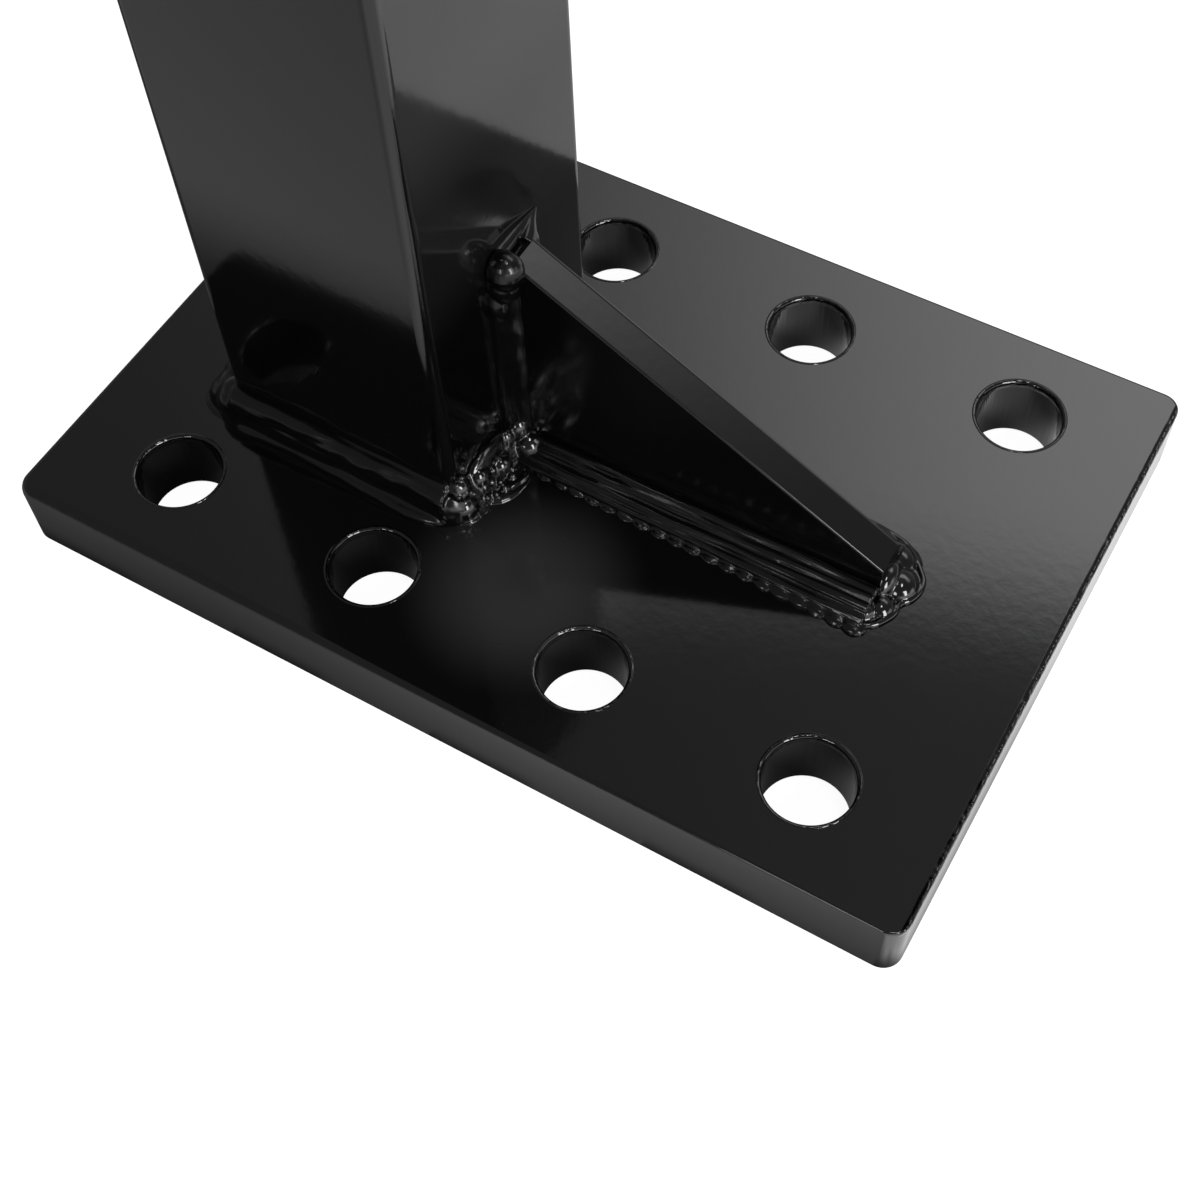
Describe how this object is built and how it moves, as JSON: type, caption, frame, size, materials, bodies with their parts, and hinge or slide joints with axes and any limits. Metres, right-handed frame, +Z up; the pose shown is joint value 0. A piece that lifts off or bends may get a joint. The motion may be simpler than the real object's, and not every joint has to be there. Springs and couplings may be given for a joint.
{
  "type": "welded post base",
  "caption": "Thick steel base plate with bolt holes, an offset square tube post and one tapered gusset, fillet welded and coated gloss black",
  "frame": {"origin": "centre of the base plate's underside, which is also the bottom centre of the whole part", "axes": "+X along the plate, away from the post and along the gusset; +Y across the plate; +Z up the post"},
  "size_m": [0.25, 0.17, 0.2],
  "materials": {
    "coated_steel": "gloss",
    "coated_weld": "gloss"
  },
  "bodies": {
    "root": {"base_plate": "coated_steel", "post_tube": "coated_steel", "gusset_plate": "coated_steel", "weld_post_front": "coated_weld", "weld_post_left": "coated_weld", "weld_post_back": "coated_weld", "weld_post_right_front": "coated_weld", "weld_post_right_back": "coated_weld", "weld_corner_blob": "coated_weld", "weld_gusset_front": "coated_weld", "weld_gusset_back": "coated_weld", "weld_gusset_toe": "coated_weld", "weld_upright_front": "coated_weld", "weld_upright_back": "coated_weld", "weld_gusset_top": "coated_weld"}
  },
  "joints": []
}
